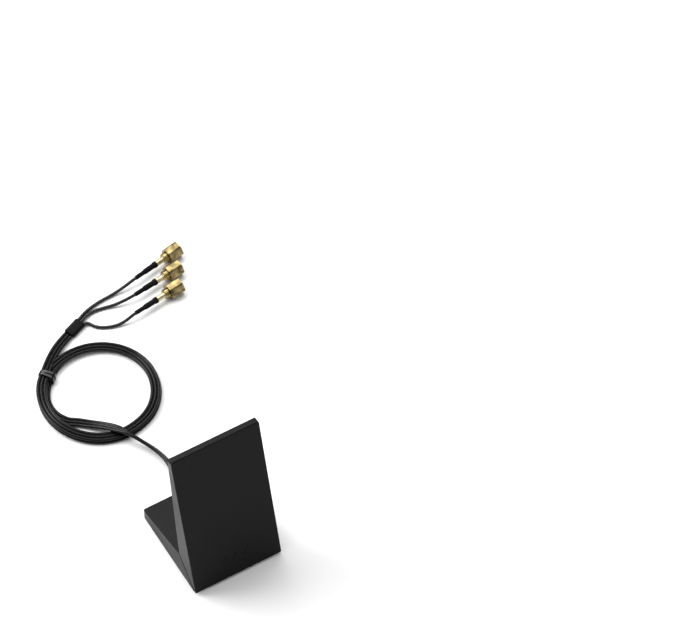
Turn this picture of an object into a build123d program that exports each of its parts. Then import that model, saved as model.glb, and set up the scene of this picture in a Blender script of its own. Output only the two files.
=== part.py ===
from build123d import *
import os
from math import cos, hypot, radians, sin, tan

# Desktop Wi-Fi antenna: a slab-shaped antenna panel that leans back on a wedge base and folds down on a
# friction hinge. A flat lead of bonded coaxes leaves the back of the base, lies in a tied coil, and ends in
# three tails with screw-on RP-SMA plugs. Millimetres, +Z up, front towards -Y. The origin is the middle of
# the antenna's footprint, at the table.

# ---- driving dimensions ----
width = 50.0
front_y = -26.2  # the base's lower front edge, before rounding
base_depth = 53.5
base_underside = 0.4
base_back_height = 7.2
hinge_setback = 15.3  # hinge axis behind the base's front edge
hinge_z = 17.0
lip_overhang = 1.42  # the panel's lower lip, before rounding, stands this far ahead of the base
lip_z = 0.0
panel_length = 95.5
panel_lean = 12.3
panel_top_thickness = 4.0
edge_round = 0.5
corner_round = 1.4  # corners of the panel's face and of the base, seen from above
# The outline that rounds the panel's corners is extruded this far back, from a little in front of it.
corner_cut = 20.0
corner_lead = 1.0
wall = 1.5
rear_cover_wall = 1.3
side_wall = 1.8
cover_inset = 1.2  # seam of the rear cover, in from the panel's edges
fit_gap = 0.1

coax_radius = 0.9
coax_pitch = 1.8
lead_width = 5.4
lead_thickness = 1.8

half = width / 2
back_y = front_y + base_depth
hinge_y = front_y + hinge_setback
lip_y = front_y - lip_overhang
hinge_relief = 0.2


# ---- helpers ----
def inset(points, walls):
    """Corners of a counter-clockwise outline after each side has moved inwards by its wall."""
    sides = []
    for (y1, z1), (y2, z2), depth in zip(points, points[1:] + points[:1], walls):
        run = hypot(y2 - y1, z2 - z1)
        normal = ((z1 - z2) / run, (y2 - y1) / run)
        sides.append((normal, normal[0] * y1 + normal[1] * z1 + depth))
    corners = []
    for (a, p), (b, q) in zip(sides[-1:] + sides[:-1], sides):
        cross = a[0] * b[1] - a[1] * b[0]
        corners.append(((p * b[1] - q * a[1]) / cross, (a[0] * q - b[0] * p) / cross))
    return corners


def save(part, label):
    """Write one sub-part under its own name."""
    part.label = label
    export_step(part, f"parts/{label}.step")


def bend_radii(route):
    """Radius of the arc at each corner: 0.45 of the shorter run over the tangent of half the turn."""
    radii = []
    for before, corner, after in zip(route, route[1:], route[2:]):
        run_in, run_out = Vector(corner) - Vector(before), Vector(after) - Vector(corner)
        half_turn = radians(run_in.get_angle(run_out)) / 2
        radii.append(0.45 * min(run_in.length, run_out.length) / tan(half_turn))
    return radii


def report_tube(label, part, section, path):
    """Print a tube's volume beside its section times its length."""
    length = sum(edge.length for edge in path.edges())
    print(label, "length", round(length, 1), "volume", round(part.volume, 1), "of", round(section * length, 1))


def round_tube(label, route, radius):
    """Round cord along straight runs joined by tangent arcs."""
    radii = bend_radii(route)
    print(label, "bend radii", [round(r, 1) for r in radii])
    with BuildPart() as tube:
        with BuildLine() as path:
            FilletPolyline(*route, radius=radii)
        with BuildSketch(Plane(origin=path.line @ 0, z_dir=path.line % 0)) as section:
            Circle(radius)
        sweep(path=path.line)
    report_tube(label, tube.part, section.sketch.area, path.line)
    return tube.part


def flat_tube(label, route):
    """The flat lead: its section stays level along the route."""
    radii = bend_radii(route)
    print(label, "bend radii", [round(r, 1) for r in radii])
    with BuildPart() as tube:
        with BuildLine() as path:
            FilletPolyline(*route, radius=radii)
        heading = path.line % 0
        level = Vector(heading.Y, -heading.X, 0)
        with BuildSketch(Plane(origin=path.line @ 0, x_dir=level, z_dir=heading)) as section:
            SlotOverall(lead_width, lead_thickness)
        sweep(path=path.line)
    report_tube(label, tube.part, section.sketch.area, path.line)
    return tube.part


os.makedirs("parts", exist_ok=True)

# ---- side profile, as (y, z) corners, counter-clockwise ----
lean = radians(panel_lean)
up_front = Vector(0, sin(lean), cos(lean))
out_front = Vector(0, -cos(lean), sin(lean))
lip = Vector(0, lip_y, lip_z)
top_front = lip + up_front * panel_length
top_back = top_front - out_front * panel_top_thickness
hinge_axis_point = Vector(0, hinge_y, hinge_z)
back_run = top_back - hinge_axis_point
up_back = back_run.normalized()
out_back = Vector(0, up_back.Z, -up_back.Y)
back_length = back_run.length
panel_heel = hinge_axis_point + up_back * hinge_relief
base_profile = [
    (front_y, base_underside),
    (back_y, base_underside),
    (back_y, base_back_height),
    (hinge_y, hinge_z - hinge_relief),
]
panel_profile = [
    (lip.Y, lip.Z),
    (panel_heel.Y, panel_heel.Z),
    (top_back.Y, top_back.Z),
    (top_front.Y, top_front.Z),
]
front_plane = Plane(origin=lip, x_dir=(1, 0, 0), z_dir=out_front)
back_plane = Plane(origin=hinge_axis_point, x_dir=(-1, 0, 0), z_dir=out_back)

# ---- hinge sizes ----
knuckle_radius = 2.4
pocket_radius = 2.8
pocket_half = 18.0
leaf_inner = 1.4
leaf_outer = 2.4
leaf_start = 3.0
leaf_end = 10.0
leaf_span = (6.0, 17.0)
outer_knuckles = [(6.0, 8.9), (14.1, 17.0)]
middle_knuckle = (9.2, 13.8)
pin_radius = 0.9
pin_running_gap = 0.04
pin_span = (5.6, 17.4)
washer_radius = 1.9
washer_spans = [(8.9, 9.15), (13.85, 14.1)]
leaf_screw_x = [9.0, 14.0]
leaf_screw_v = 7.0
leaf_screw_shank = 0.8
leaf_screw_head = 1.5
leaf_screw_length = 4.0
boss_half_width = 4.6
boss_middle_x = sum(leaf_screw_x) / 2
sides = {"right": 1, "left": -1}


def across(span, side):
    """Start and length of a stretch along X, on the right (1) or left (-1) side."""
    low, high = (span[0], span[1]) if side > 0 else (-span[1], -span[0])
    return low, high - low


def base_leaf_plane(x):
    """Sketch plane of a base leaf: x is away from the hinge axis to the back, y is down."""
    return Plane(origin=(x, hinge_y, hinge_z), x_dir=(0, 1, 0), z_dir=(-1, 0, 0))


def panel_leaf_plane(x):
    """Sketch plane of a panel leaf: x is away from the hinge axis into the panel, y is up its back."""
    return Plane(origin=(x, hinge_y, hinge_z), x_dir=-out_back, z_dir=(-1, 0, 0))


def rectangle_corners(low_u, high_u, low_v, high_v):
    """Corners of a rectangle in a leaf's plane: u is off the hinge axis, v is along the leaf."""
    return [(low_u, low_v), (high_u, low_v), (high_u, high_v), (low_u, high_v)]


def hinge_leaf(plane_of, side, knuckles, bore_radius):
    """Steel leaf with its knuckles: a plate that is tangent to the barrel, joined by narrow necks."""
    with BuildPart() as leaf:
        start, length = across(leaf_span, side)
        with BuildSketch(plane_of(start + length)):
            Polygon(*rectangle_corners(leaf_inner, leaf_outer, leaf_start, leaf_end))
        extrude(amount=length)
        for span in knuckles:
            start, length = across(span, side)
            with BuildSketch(plane_of(start + length)):
                Polygon(*rectangle_corners(leaf_inner, leaf_outer, 0, leaf_start + 0.2))
            extrude(amount=length)
            with BuildSketch(plane_of(start + length)):
                Circle(knuckle_radius)
            extrude(amount=length)
            with BuildSketch(plane_of(start + length)):
                Circle(bore_radius)
            extrude(amount=length, mode=Mode.SUBTRACT)
    return leaf.part


def screw_group(places, shank, head, length):
    """Countersunk screws whose heads are flush with the places given, with a cross recess."""
    head_height = head - shank
    with BuildPart() as screws:
        with Locations(*places):
            Cylinder(shank, length, align=(Align.CENTER, Align.CENTER, Align.MAX))
            Cone(shank, head, head_height, align=(Align.CENTER, Align.CENTER, Align.MAX))
            Box(head, head / 4, head_height, align=(Align.CENTER, Align.CENTER, Align.MAX), mode=Mode.SUBTRACT)
            Box(head / 4, head, head_height, align=(Align.CENTER, Align.CENTER, Align.MAX), mode=Mode.SUBTRACT)
    return screws.part


# Screw places: each plane's z points out of the screw's head.
base_leaf_screw_places = [
    Plane(origin=(side * x, hinge_y + leaf_outer, hinge_z - leaf_screw_v), x_dir=(1, 0, 0), z_dir=(0, 1, 0))
    for side in sides.values()
    for x in leaf_screw_x
]
panel_leaf_screw_places = [
    Plane(
        origin=back_plane.from_local_coords((side * x, leaf_screw_v, -leaf_inner)),
        x_dir=(1, 0, 0),
        z_dir=out_back,
    )
    for side in sides.values()
    for x in leaf_screw_x
]

# ---- base: bottom cover, its screws and feet ----
plate_thickness = 1.5
plate_top = base_underside + plate_thickness
base_screw_x = 19.0
base_screw_ys = [front_y + 20.0, front_y + 38.5]
base_screw_shank = 1.0
base_screw_head = 1.9
base_screw_length = 5.0
base_screw_places = [
    Plane(origin=(x, y, base_underside), x_dir=(1, 0, 0), z_dir=(0, 0, -1))
    for x in (-base_screw_x, base_screw_x)
    for y in base_screw_ys
]
foot_radius = 3.5
foot_recess = 0.8
foot_spots = [(x, y) for x in (-18.5, 18.5) for y in (front_y + 9.5, back_y - 5.5)]
base_walls = [-1.0, wall + fit_gap, wall, wall]
base_cavity = inset(base_profile, base_walls)
plate_opening = inset(base_profile, [0.0, wall + 2 * fit_gap, wall, wall + fit_gap])
seam_slope = hinge_setback / (hinge_z - hinge_relief - base_underside)
plate_profile = [
    (plate_opening[0][0], base_underside),
    (plate_opening[1][0], base_underside),
    (plate_opening[1][0], plate_top),
    (plate_opening[0][0] + plate_thickness * seam_slope, plate_top),
]

with BuildPart() as base_bottom_cover:
    with BuildSketch(Plane.YZ.offset(-half + wall + fit_gap)):
        Polygon(*plate_profile)
    extrude(amount=width - 2 * (wall + fit_gap))
    with BuildSketch(Plane.XY.offset(base_underside)):
        with Locations(*foot_spots):
            Circle(foot_radius + fit_gap)
    extrude(amount=foot_recess, mode=Mode.SUBTRACT)
    with Locations(*base_screw_places):
        CounterSinkHole(base_screw_shank, base_screw_head, counter_sink_angle=90)
save(base_bottom_cover.part, "base_bottom_cover")

save(screw_group(base_screw_places, base_screw_shank, base_screw_head, base_screw_length), "base_screws")

with BuildPart() as rubber_feet:
    with BuildSketch(Plane.XY):
        with Locations(*foot_spots):
            Circle(foot_radius)
    extrude(amount=base_underside + foot_recess)
    chamfer(rubber_feet.faces().group_by(Axis.Z)[0].edges(), length=0.25)
save(rubber_feet.part, "rubber_feet")

# ---- base: top cover, with its walls, screw bosses, hinge ribs and the lead's slot ----
slot_width = 7.6
slot_height = 3.4
slot_z = 3.9
boss_radius = 2.2
rib_top, rib_bottom = 12.2, 7.4
rib_front = [front_y + (z - base_underside) * seam_slope + wall * 0.8 for z in (rib_bottom, rib_top)]
rib_profile = [
    (rib_front[0], rib_bottom),
    (hinge_y + leaf_inner, rib_bottom),
    (hinge_y + leaf_inner, rib_top),
    (rib_front[1], rib_top),
]

with BuildPart() as base_top_cover:
    with BuildSketch(Plane.YZ.offset(-half)):
        Polygon(*base_profile)
    extrude(amount=width)
    fillet(base_top_cover.edges(), radius=edge_round)
    with BuildSketch(Plane.XY):
        with Locations((0, front_y + base_depth / 2)):
            RectangleRounded(width, base_depth, corner_round)
    extrude(amount=hinge_z, mode=Mode.INTERSECT)
    with BuildSketch(Plane.YZ.offset(-half + wall)):
        Polygon(*base_cavity)
    extrude(amount=width - 2 * wall, mode=Mode.SUBTRACT)
    for boss_y in base_screw_ys:
        roof_z = base_back_height + (back_y - boss_y) * (hinge_z - hinge_relief - base_back_height) / (
            back_y - hinge_y
        )
        with BuildSketch(Plane.XY.offset(plate_top)):
            with Locations((-base_screw_x, boss_y), (base_screw_x, boss_y)):
                Circle(boss_radius)
        extrude(amount=roof_z - wall / 2 - plate_top)
    for side in sides.values():
        start, length = across((boss_middle_x - boss_half_width, boss_middle_x + boss_half_width), side)
        with BuildSketch(Plane.YZ.offset(start)):
            Polygon(*rib_profile)
        extrude(amount=length)
    with Locations(*base_screw_places):
        Hole(base_screw_shank, depth=base_screw_length)
    with Locations(*base_leaf_screw_places):
        Hole(leaf_screw_shank, depth=leaf_screw_length)
    with BuildSketch(Plane.YZ.offset(-pocket_half)):
        with Locations((hinge_y, hinge_z)):
            Circle(pocket_radius)
    extrude(amount=2 * pocket_half, mode=Mode.SUBTRACT)
    for side in sides.values():
        start, length = across((leaf_span[0] - 0.15, leaf_span[1] + 0.15), side)
        with BuildSketch(base_leaf_plane(start + length)):
            Polygon(*rectangle_corners(leaf_inner, leaf_outer + 0.2, 0, leaf_start + 0.4))
        extrude(amount=length, mode=Mode.SUBTRACT)
    with BuildSketch(Plane.XZ.offset(-back_y - 1)):
        with Locations((0, slot_z)):
            SlotOverall(slot_width, slot_height)
    extrude(amount=wall + 2, mode=Mode.SUBTRACT)
save(base_top_cover.part, "base_top_cover")

# ---- base: steel weight, notched for the lead ----
weight_width = 32.0
weight_front, weight_back = front_y + 23.0, back_y - 8.0
weight_height = 2.6
notch_width = 8.0
with BuildPart() as base_weight:
    with BuildSketch(Plane.XY.offset(plate_top)):
        with Locations((0, (weight_front + weight_back) / 2)):
            RectangleRounded(weight_width, weight_back - weight_front, 2.0)
        with Locations((0, weight_back)):
            Rectangle(notch_width, 2 * (weight_back - weight_front - 4.0), mode=Mode.SUBTRACT)
    extrude(amount=weight_height)
save(base_weight.part, "base_weight")

# ---- base: grommet that holds the lead where it leaves the back ----
grommet_nose = 5.0
grommet_inner_y = back_y - wall - 1.2
grommet_outer_y = back_y + grommet_nose
with BuildPart() as cable_grommet:
    with BuildSketch(Plane.XZ.offset(-grommet_inner_y)):
        with Locations((0, slot_z)):
            SlotOverall(slot_width + 1.6, slot_height + 0.4)
    extrude(amount=-(back_y - wall - fit_gap - grommet_inner_y))
    with BuildSketch(Plane.XZ.offset(-grommet_inner_y)):
        with Locations((0, slot_z)):
            SlotOverall(slot_width - fit_gap, slot_height - fit_gap)
    extrude(amount=-(back_y - grommet_inner_y))
    with BuildSketch(Plane.XZ.offset(-back_y)):
        with Locations((0, slot_z)):
            SlotOverall(slot_width + 1.0, slot_height + 0.8)
    with BuildSketch(Plane.XZ.offset(-grommet_outer_y)):
        with Locations((0, slot_z)):
            SlotOverall(lead_width + 1.2, lead_thickness + 1.2)
    loft()
    with BuildSketch(Plane.XZ.offset(-grommet_inner_y)):
        with Locations((0, slot_z)):
            SlotOverall(lead_width, lead_thickness)
    extrude(amount=-(grommet_outer_y - grommet_inner_y), mode=Mode.SUBTRACT)
save(cable_grommet.part, "cable_grommet")

# ---- panel: front cover with its walls, hinge bosses, board posts and raised mark ----
panel_cavity = inset(panel_profile, [wall, rear_cover_wall, wall, wall])
seat_low = 4.2
seat_high = back_length - cover_inset
board_depth = 2.5
post_spots = [(x, h) for x in (-18.0, 18.0) for h in (35.0, 72.0)]
post_radius = 1.7
post_hole = 0.7
boss_v = (4.0, 9.4)
boss_reach = 10.9
mark_height = 14.0
mark_pitch = 6.4
mark_lengths = [3.4, 4.6, 5.8]
mark_raise = 0.15

with BuildPart() as panel_front_cover:
    with BuildSketch(Plane.YZ.offset(-half)):
        Polygon(*panel_profile)
    extrude(amount=width)
    fillet(panel_front_cover.edges(), radius=edge_round)
    with BuildSketch(front_plane.offset(corner_lead)):
        with Locations((0, panel_length / 2)):
            RectangleRounded(width, panel_length, corner_round)
    extrude(amount=-corner_cut, mode=Mode.INTERSECT)
    with BuildSketch(Plane.YZ.offset(-half + side_wall)):
        Polygon(*panel_cavity)
    extrude(amount=width - 2 * side_wall, mode=Mode.SUBTRACT)
    for side in sides.values():
        with BuildSketch(back_plane.offset(-leaf_outer)):
            with Locations((side * boss_middle_x, sum(boss_v) / 2)):
                Rectangle(2 * boss_half_width, boss_v[1] - boss_v[0])
        extrude(amount=-(boss_reach - leaf_outer))
    with BuildSketch(front_plane.offset(-wall / 2)):
        with Locations(*post_spots):
            Circle(post_radius)
    extrude(amount=-(board_depth - wall / 2))
    with BuildSketch(front_plane.offset(-board_depth)):
        with Locations(*post_spots):
            Circle(post_hole)
    extrude(amount=board_depth - wall + 0.4, mode=Mode.SUBTRACT)
    with BuildSketch(back_plane):
        with Locations((0, (seat_low + seat_high) / 2)):
            Rectangle(width - 2 * cover_inset, seat_high - seat_low)
    extrude(amount=-rear_cover_wall, mode=Mode.SUBTRACT)
    with BuildSketch(Plane.YZ.offset(-pocket_half)):
        with Locations((hinge_y, hinge_z)):
            Circle(pocket_radius)
    extrude(amount=2 * pocket_half, mode=Mode.SUBTRACT)
    with Locations(*panel_leaf_screw_places):
        Hole(leaf_screw_shank, depth=leaf_screw_length)
    for place, bar_length in enumerate(mark_lengths):
        with BuildSketch(front_plane.offset(-0.2)):
            with Locations(((place - 1) * mark_pitch, mark_height)):
                SlotOverall(bar_length, 1.6, rotation=60)
        extrude(amount=0.2 + mark_raise)
save(panel_front_cover.part, "panel_front_cover")

# ---- panel: rear cover, inset flush in the back ----
with BuildPart() as panel_rear_cover:
    with BuildSketch(back_plane):
        with Locations((0, (seat_low + seat_high) / 2)):
            RectangleRounded(
                width - 2 * (cover_inset + fit_gap), seat_high - seat_low - 2 * fit_gap, 0.6
            )
    extrude(amount=-(rear_cover_wall - fit_gap))
save(panel_rear_cover.part, "panel_rear_cover")

# ---- panel: antenna board, copper elements, screws and feed clips ----
board_thickness = 0.8
board_width = 42.0
board_low, board_high = 31.0, 86.0
copper_thickness = 0.1
element_pitch = 13.0
element_columns = [-element_pitch, 0.0, element_pitch]
trunk_low, trunk_high = 38.5, 80.0
trunk_width = 2.0
arm_heights = [56.0, 66.0, 78.5]
arm_length = 4.2
clip_low, clip_high = 39.5, 43.5
clip_height = 2.3
clip_floor = 0.2
feed_depth = board_depth + board_thickness + copper_thickness + clip_floor + coax_radius

with BuildPart() as antenna_board:
    with BuildSketch(front_plane.offset(-board_depth)):
        with Locations((0, (board_low + board_high) / 2)):
            RectangleRounded(board_width, board_high - board_low, 1.5)
        with Locations(*post_spots):
            Circle(post_hole + fit_gap, mode=Mode.SUBTRACT)
    extrude(amount=-board_thickness)
save(antenna_board.part, "antenna_board")

copper_face = front_plane.offset(-board_depth - board_thickness)
with BuildPart() as antenna_elements:
    for column in element_columns:
        lean_side = -1 if column > 0 else 1
        with BuildSketch(copper_face):
            with Locations((column, (trunk_low + trunk_high) / 2)):
                Rectangle(trunk_width, trunk_high - trunk_low)
            for arm_height in arm_heights:
                with Locations((column + lean_side * arm_length / 2, arm_height)):
                    Rectangle(arm_length, 1.6)
        extrude(amount=-copper_thickness)
save(antenna_elements.part, "antenna_elements")

board_screw_places = [
    Plane(
        origin=front_plane.from_local_coords((x, h, -board_depth - board_thickness - 0.7)),
        x_dir=(1, 0, 0),
        z_dir=-out_front,
    )
    for x, h in post_spots
]
with BuildPart() as board_screws:
    with Locations(*board_screw_places):
        Cylinder(1.4, 0.7, align=(Align.CENTER, Align.CENTER, Align.MAX))
        Cylinder(post_hole, 2.0, align=(Align.CENTER, Align.CENTER, Align.MAX))
        Box(1.8, 0.4, 0.35, align=(Align.CENTER, Align.CENTER, Align.MAX), mode=Mode.SUBTRACT)
save(board_screws.part, "board_screws")

with BuildPart() as feed_clips:
    for column in element_columns:
        with BuildSketch(copper_face.offset(-copper_thickness)):
            with Locations((column, (clip_low + clip_high) / 2)):
                Rectangle(3.2, clip_high - clip_low)
        extrude(amount=-clip_height)
        clip_end = front_plane.from_local_coords((column, clip_low, -feed_depth))
        with BuildSketch(Plane(origin=clip_end, z_dir=up_front)):
            Circle(coax_radius)
        extrude(amount=clip_high - clip_low, mode=Mode.SUBTRACT)
save(feed_clips.part, "feed_clips")

# ---- coaxes inside the panel and the base; each is cut at the hinge axis ----
inner_bend = 1.3
hinge_cut = 1.0
hinge_local = front_plane.to_local_coords(hinge_axis_point)
with BuildPart() as panel_leads:
    for place, column in enumerate(element_columns):
        start_x = (place - 1) * coax_pitch * 1.05
        local_route = [
            (start_x, hinge_local.Y, hinge_local.Z + hinge_cut),
            (start_x, hinge_local.Y + 0.4, -8.4),
            (start_x * 1.6, 23.4, -5.6),
            (start_x * 2.2, 28.4, -4.9),
            (column * 0.8, 34.4, -feed_depth - 0.1),
            (column, 39.0, -feed_depth),
            (column, clip_high, -feed_depth),
        ]
        with BuildLine() as lead_path:
            FilletPolyline(*[front_plane.from_local_coords(p) for p in local_route], radius=inner_bend)
        with BuildSketch(Plane(origin=lead_path.line @ 0, z_dir=lead_path.line % 0)):
            Circle(coax_radius)
        sweep(path=lead_path.line)
save(panel_leads.part, "panel_leads")

with BuildPart() as base_leads:
    for place in range(3):
        lead_x = (place - 1) * coax_pitch
        spread_x = lead_x * 1.05
        route = [
            (lead_x, grommet_inner_y, slot_z),
            (lead_x, grommet_inner_y - 6.0, slot_z + 0.1),
            (lead_x, grommet_inner_y - 12.0, slot_z + 1.6),
            (lead_x, hinge_y + 9.0, 7.6),
            (spread_x, hinge_y + 1.8, 11.0),
            (spread_x, hinge_y + 0.3, hinge_z - hinge_cut),
        ]
        with BuildLine() as lead_path:
            FilletPolyline(*route, radius=2 * inner_bend)
        with BuildSketch(Plane(origin=lead_path.line @ 0, z_dir=lead_path.line % 0)):
            Circle(coax_radius - 0.02)
        sweep(path=lead_path.line)
save(base_leads.part, "base_leads")

# ---- hinges: one on each side of the leads ----
for side_name, side in sides.items():
    base_leaf_places = [p for p in base_leaf_screw_places if p.origin.X * side > 0]
    panel_leaf_places = [p for p in panel_leaf_screw_places if p.origin.X * side > 0]

    with BuildPart() as base_leaf:
        add(hinge_leaf(base_leaf_plane, side, outer_knuckles, pin_radius))
        with Locations(*base_leaf_places):
            CounterSinkHole(leaf_screw_shank, leaf_screw_head, depth=2.0, counter_sink_angle=90)
    save(base_leaf.part, f"base_hinge_leaf_{side_name}")

    with BuildPart() as panel_leaf:
        add(hinge_leaf(panel_leaf_plane, side, [middle_knuckle], pin_radius + pin_running_gap))
        with Locations(*panel_leaf_places):
            CounterSinkHole(leaf_screw_shank, leaf_screw_head, depth=2.0, counter_sink_angle=90)
    save(panel_leaf.part, f"panel_hinge_leaf_{side_name}")

    start, length = across(pin_span, side)
    with BuildPart() as hinge_pin:
        with BuildSketch(Plane.YZ.offset(start)):
            with Locations((hinge_y, hinge_z)):
                Circle(pin_radius)
        extrude(amount=length)
        chamfer(hinge_pin.edges().filter_by(GeomType.CIRCLE), length=0.2)
    save(hinge_pin.part, f"hinge_pin_{side_name}")

    with BuildPart() as hinge_washers:
        for span in washer_spans:
            start, length = across(span, side)
            with BuildSketch(Plane.YZ.offset(start)):
                with Locations((hinge_y, hinge_z)):
                    Circle(washer_radius)
                    Circle(pin_radius, mode=Mode.SUBTRACT)
            extrude(amount=length)
    save(hinge_washers.part, f"hinge_washers_{side_name}")

save(
    screw_group(base_leaf_screw_places, leaf_screw_shank, leaf_screw_head, leaf_screw_length),
    "base_leaf_screws",
)
save(
    screw_group(panel_leaf_screw_places, leaf_screw_shank, leaf_screw_head, leaf_screw_length),
    "panel_leaf_screws",
)

# ---- the flat lead: from the grommet to the coil, the tied coil, and on to the breakout sleeve ----
lead_route = [
    (0.0, grommet_inner_y, slot_z),
    (0.0, 33.5, slot_z),
    (0.3, 41.6, 3.2),
    (1.2, 49.8, 2.8),
    (-0.2, 57.6, 2.8),
    (-3.0, 64.0, 3.3),
    (-6.3, 69.3, 4.3),
    (-8.4, 73.0, 4.6),
]
coil_centre = (-8.0, 104.8)
coil_outer = 32.6
coil_inner = 25.4
coil_height = 5.4
tie_bearing = 130.0
tie_width = 3.0
tie_thickness = 0.6
sleeve_start = (-3.3, 146.3)
sleeve_heading = 22.5
sleeve_length = 9.2
sleeve_z = 1.6
sleeve_width, sleeve_thickness = 6.4, 3.2
end_route = [
    (-24.5, 131.2, 3.6),
    (-20.6, 135.3, 3.0),
    (-15.3, 139.9, 2.2),
    (-9.5, 143.6, 1.7),
    (*sleeve_start, sleeve_z),
]

save(flat_tube("ribbon_lead", lead_route), "ribbon_lead")

tie_angle = radians(tie_bearing)
tie_radial = (cos(tie_angle), sin(tie_angle), 0)
tie_middle = (coil_outer + coil_inner) / 2
tie_plane = Plane(
    origin=(
        coil_centre[0] + tie_middle * tie_radial[0],
        coil_centre[1] + tie_middle * tie_radial[1],
        coil_height / 2 + tie_thickness / 2,
    ),
    x_dir=tie_radial,
    z_dir=(-sin(tie_angle), cos(tie_angle), 0),
)
with BuildPart() as cable_tie:
    with BuildSketch(tie_plane.offset(-tie_width / 2)):
        RectangleRounded(coil_outer - coil_inner + 0.8, coil_height + tie_thickness, 1.2)
        RectangleRounded(coil_outer - coil_inner - 0.4, coil_height - tie_thickness, 0.8, mode=Mode.SUBTRACT)
    extrude(amount=tie_width)
save(cable_tie.part, "cable_tie")

with BuildPart() as cable_coil:
    with BuildSketch(Plane.XY):
        with Locations(coil_centre):
            Circle(coil_outer)
            Circle(coil_inner, mode=Mode.SUBTRACT)
    extrude(amount=coil_height)
    fillet(cable_coil.edges().filter_by(GeomType.CIRCLE), radius=0.8)
    with BuildSketch(tie_plane.offset(-tie_width / 2 - 0.05)):
        RectangleRounded(coil_outer - coil_inner + 2.0, coil_height + 2 * tie_thickness, 1.2)
        RectangleRounded(coil_outer - coil_inner - 0.4, coil_height - tie_thickness, 0.8, mode=Mode.SUBTRACT)
    extrude(amount=tie_width + 0.1, mode=Mode.SUBTRACT)
save(cable_coil.part, "cable_coil")

save(flat_tube("ribbon_end", end_route), "ribbon_end")

sleeve_angle = radians(sleeve_heading)
sleeve_plane = Plane(
    origin=(*sleeve_start, sleeve_z),
    x_dir=(sin(sleeve_angle), -cos(sleeve_angle), 0),
    z_dir=(cos(sleeve_angle), sin(sleeve_angle), 0),
)
with BuildPart() as breakout_sleeve:
    with BuildSketch(sleeve_plane):
        SlotOverall(sleeve_width, sleeve_thickness)
    extrude(amount=sleeve_length)
save(breakout_sleeve.part, "breakout_sleeve")

# ---- three tails, each to a plug that lies on the table with its axis level ----
plug_height = 4.0
plug_mouths = [(72.3, 164.3), (67.0, 153.5), (61.6, 142.9)]
plug_headings = [11.0, 8.0, 8.0]
boot_rear, tail_end = -31.0, -24.5
tail_starts = [
    sleeve_plane.from_local_coords((offset, 0, sleeve_length)) for offset in (-coax_pitch, 0, coax_pitch)
]
tail_middles = [
    [(9.0, 153.9, 1.3), (14.6, 155.9, 1.0), (21.0, 157.0, 1.0), (27.8, 157.3, 1.0), (34.8, 157.6, 2.3)],
    [(9.4, 152.1, 1.3), (14.9, 153.1, 1.0), (20.4, 152.2, 1.0), (25.6, 150.7, 1.5), (30.8, 149.6, 2.9)],
    [(9.6, 148.2, 1.3), (13.0, 146.2, 1.0), (15.6, 143.2, 1.0), (18.9, 140.8, 1.0), (23.2, 139.2, 1.2),
     (27.0, 138.5, 2.5)],
]
nut_flat = 4.0
nut_length = 8.0
thread_radius = 2.87
thread_depth = 3.2
relief_radius = 3.15
relief_end = -5.4
body_radius = 2.4
body_gap = 0.05
flange_radius = 3.05
flange_span = (-5.3, -4.3)
body_face = -3.6
insulator_face = -4.0
collar_radius = 2.75
collar_span = (-10.8, -8.2)
insulator_radius = 1.6
contact_radius = 0.65
contact_bore = 0.45
ferrule_radius = 1.5
ferrule_rear = -17.0
boot_bore = 0.95
outer_boot_rear = -23.5
outer_boot_front = -15.5
inner_boot_rear = -29.5
inner_boot_front = -17.1
inner_boot_radius = 1.2
outer_boot_radii = (1.5, 1.8)


def revolved(plane, profile):
    """Turned piece about the plug's axis, from (radius, along) corners; the mouth is at 0."""
    section = Plane(origin=plane.origin, x_dir=plane.x_dir, z_dir=plane.z_dir.cross(plane.x_dir) * -1)
    with BuildPart() as turned:
        with BuildSketch(section):
            Polygon(*profile)
        revolve(axis=Axis(plane.origin, plane.z_dir))
    return turned.part


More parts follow.
